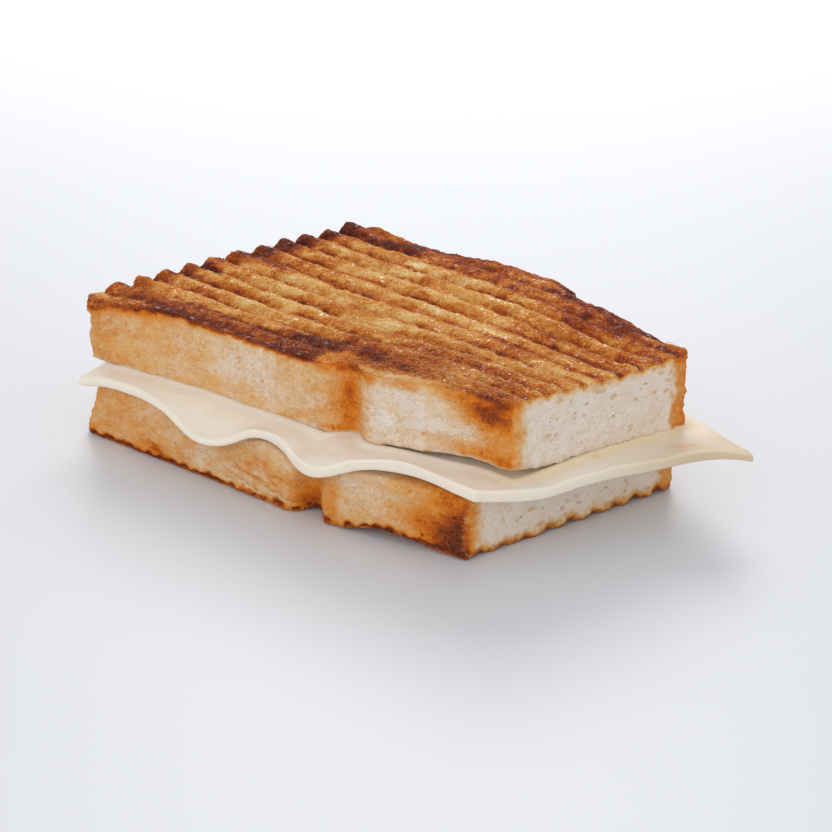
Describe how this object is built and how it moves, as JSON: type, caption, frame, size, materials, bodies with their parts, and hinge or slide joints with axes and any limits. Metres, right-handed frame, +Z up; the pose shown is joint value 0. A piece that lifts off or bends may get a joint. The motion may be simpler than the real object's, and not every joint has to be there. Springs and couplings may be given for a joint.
{
  "type": "grilled cheese sandwich",
  "caption": "Pressed grilled cheese sandwich on ribbed-grilled white loaf slices, with a wavy layer of white cheese spilling over its edges and one end cut straight.",
  "frame": {"origin": "middle of the bounding box's underside, on the surface that the sandwich rests on", "axes": "+X along the sandwich from the loaf's base crust to the cut end, +Y across it to the far side crust, +Z up"},
  "size_m": [0.1682, 0.1036, 0.0404],
  "materials": {
    "toasted_bread": "matt, golden to dark brown ribbed toast with pale crust sides and an off-white cut face",
    "white_cheese": "smooth satin, ivory"
  },
  "bodies": {
    "root": {"bottom_slice": "toasted_bread", "cheese_layer": "white_cheese", "top_slice": "toasted_bread"}
  },
  "joints": []
}
